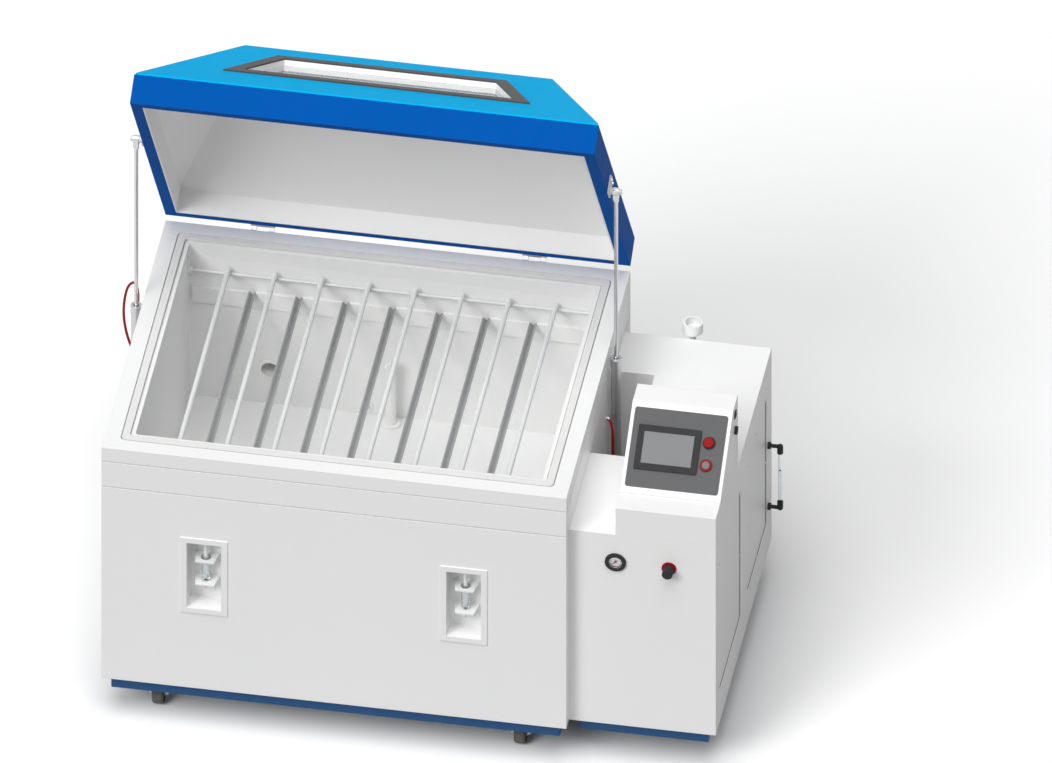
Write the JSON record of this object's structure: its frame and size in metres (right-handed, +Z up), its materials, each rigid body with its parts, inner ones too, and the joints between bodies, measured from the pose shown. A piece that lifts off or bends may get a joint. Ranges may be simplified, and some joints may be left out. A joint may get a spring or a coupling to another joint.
{
  "type": "salt spray test chamber",
  "caption": "Corrosion test chamber: a white double-walled tub on castors with a raised blue hipped lid, air cylinders and a side cabinet with a control console.",
  "frame": {"origin": "middle of the object's box on the floor, with the lid raised", "axes": "+X towards the side cabinet, +Y from the tub's front to the hinge side, +Z up"},
  "size_m": [1.9628, 1.1752, 2.0021],
  "materials": {
    "pp_white": "satin",
    "pp_grey": "matt",
    "pp_blue": "satin",
    "seal_rubber": "matt",
    "blue_steel": "satin",
    "rod_plastic": "satin",
    "clear_plastic": "clear",
    "stainless": "brushed",
    "zinc_steel": "zinc plated",
    "wheel_rubber": "matt",
    "cast_aluminium": "satin",
    "rod_chrome": "polished",
    "hose_red": "satin",
    "window_black": "satin",
    "panel_grey": "satin",
    "black_plastic": "satin",
    "screen_glass": "gloss",
    "red_plastic": "gloss",
    "button_grey": "satin",
    "cabinet_white": "satin"
  },
  "bodies": {
    "root": {"base_frames": "blue_steel", "tub_shell": "pp_white", "tub_band": "pp_white", "rim_flange": "pp_white", "rim_seal": "seal_rubber", "inner_liner": "pp_grey", "rack_brackets": "pp_grey", "rack_rods": "rod_plastic", "vee_bars": "rod_plastic", "spray_tower": "pp_grey", "fog_funnels": "clear_plastic", "drop_tubes": "pp_grey", "pocket_boxes": "pp_white", "pocket_shelves": "pp_white", "measuring_cylinders": "clear_plastic", "drain_taps": "pp_grey", "jacket_heater": "stainless", "waste_stubs": "pp_grey", "tub_hinges": "stainless", "lower_brackets": "cast_aluminium", "cabinet_shell": "cabinet_white", "side_covers": "cabinet_white", "saturator_barrel": "stainless", "brine_tank": "pp_grey", "gauge_case": "black_plastic", "gauge_lens": "clear_plastic", "regulator_body": "red_plastic", "level_tube": "clear_plastic", "level_fittings": "black_plastic", "filling_funnel": "pp_white", "console_housing": "cabinet_white", "console_panel": "panel_grey", "screen_bezel": "black_plastic", "touch_screen": "screen_glass", "button_rings": "black_plastic", "console_sockets": "black_plastic"},
    "lid": {"lid_shell": "pp_blue", "lid_liner": "pp_grey", "window_frame": "window_black", "window_pane": "clear_plastic", "lid_hinges": "stainless", "lid_brackets": "pp_white"},
    "barrel_l": {"barrel_left": "cast_aluminium", "air_hose_left": "hose_red"},
    "barrel_r": {"barrel_right": "cast_aluminium", "air_hose_right": "hose_red"},
    "rod_l": {"rod_left": "rod_chrome"},
    "rod_r": {"rod_right": "rod_chrome"},
    "pointer": {"gauge_pointer": "red_plastic"},
    "knob": {"regulator_knob": "black_plastic"},
    "stop": {"stop_button": "red_plastic"},
    "start": {"start_button": "button_grey"},
    "fork_front_left_b": {"fork_front_left": "zinc_steel"},
    "wheel_front_left_b": {"wheel_front_left": "wheel_rubber"},
    "fork_front_right_b": {"fork_front_right": "zinc_steel"},
    "wheel_front_right_b": {"wheel_front_right": "wheel_rubber"},
    "fork_back_left_b": {"fork_back_left": "zinc_steel"},
    "wheel_back_left_b": {"wheel_back_left": "wheel_rubber"},
    "fork_back_right_b": {"fork_back_right": "zinc_steel"},
    "wheel_back_right_b": {"wheel_back_right": "wheel_rubber"}
  },
  "joints": [
    {"name": "lid_hinge", "type": "hinge", "parent": "root", "child": "lid", "pos_m": [-0.20663, 0.52844, 1.035], "axis": [1, 0, 0], "range_deg": [0, 56]},
    {"name": "barrel_tilt_left", "type": "hinge", "parent": "root", "child": "barrel_l", "pos_m": [-0.92912, 0.13664, 0.44], "axis": [1, 0, 0], "range_deg": [0, 28]},
    {"name": "barrel_tilt_right", "type": "hinge", "parent": "root", "child": "barrel_r", "pos_m": [0.51587, 0.13664, 0.44], "axis": [1, 0, 0], "range_deg": [0, 28]},
    {"name": "rod_pivot_left", "type": "hinge", "parent": "lid", "child": "rod_l", "pos_m": [-0.92912, 0.13694, 1.62614], "axis": [1, 0, 0], "range_deg": [-28.4, 0]},
    {"name": "rod_pivot_right", "type": "hinge", "parent": "lid", "child": "rod_r", "pos_m": [0.51587, 0.13694, 1.62614], "axis": [1, 0, 0], "range_deg": [-28.4, 0]},
    {"name": "gauge_needle", "type": "hinge", "parent": "root", "child": "pointer", "pos_m": [0.63338, -0.53856, 0.769], "axis": [0, 1, 0], "range_deg": [0, 270], "stiffness_Nm_per_rad": 0.002},
    {"name": "regulator_turn", "type": "hinge", "parent": "root", "child": "knob", "pos_m": [0.79438, -0.55456, 0.767], "axis": [0, 1, 0], "range_deg": [-360, 360]},
    {"name": "stop_push", "type": "slide", "parent": "root", "child": "stop", "axis": [0, 0.6251, -0.7805], "range_m": [0, 0.003], "stiffness_N_per_m": 800, "springref_m": -0.001},
    {"name": "start_push", "type": "slide", "parent": "root", "child": "start", "axis": [0, 0.6251, -0.7805], "range_m": [0, 0.003], "stiffness_N_per_m": 800, "springref_m": -0.001},
    {"name": "swivel_front_left", "type": "hinge", "parent": "root", "child": "fork_front_left_b", "pos_m": [-0.75162, -0.49956, 0.09], "axis": [0, 0, 1], "continuous": true},
    {"name": "roll_front_left", "type": "hinge", "parent": "fork_front_left_b", "child": "wheel_front_left_b", "pos_m": [-0.75162, -0.47756, 0.0375], "axis": [1, 0, 0], "continuous": true},
    {"name": "swivel_front_right", "type": "hinge", "parent": "root", "child": "fork_front_right_b", "pos_m": [0.33837, -0.49956, 0.09], "axis": [0, 0, 1], "continuous": true},
    {"name": "roll_front_right", "type": "hinge", "parent": "fork_front_right_b", "child": "wheel_front_right_b", "pos_m": [0.33837, -0.47756, 0.0375], "axis": [1, 0, 0], "continuous": true},
    {"name": "swivel_back_left", "type": "hinge", "parent": "root", "child": "fork_back_left_b", "pos_m": [-0.75162, 0.42444, 0.09], "axis": [0, 0, 1], "continuous": true},
    {"name": "roll_back_left", "type": "hinge", "parent": "fork_back_left_b", "child": "wheel_back_left_b", "pos_m": [-0.75162, 0.44644, 0.0375], "axis": [1, 0, 0], "continuous": true},
    {"name": "swivel_back_right", "type": "hinge", "parent": "root", "child": "fork_back_right_b", "pos_m": [0.33837, 0.42444, 0.09], "axis": [0, 0, 1], "continuous": true},
    {"name": "roll_back_right", "type": "hinge", "parent": "fork_back_right_b", "child": "wheel_back_right_b", "pos_m": [0.33837, 0.44644, 0.0375], "axis": [1, 0, 0], "continuous": true}
  ],
  "couplings": [
    {"joint": "barrel_tilt_left", "follows": "lid_hinge", "ratio": 0.4968},
    {"joint": "barrel_tilt_right", "follows": "lid_hinge", "ratio": 0.4968},
    {"joint": "rod_pivot_left", "follows": "lid_hinge", "ratio": -0.5032},
    {"joint": "rod_pivot_right", "follows": "lid_hinge", "ratio": -0.5032}
  ]
}
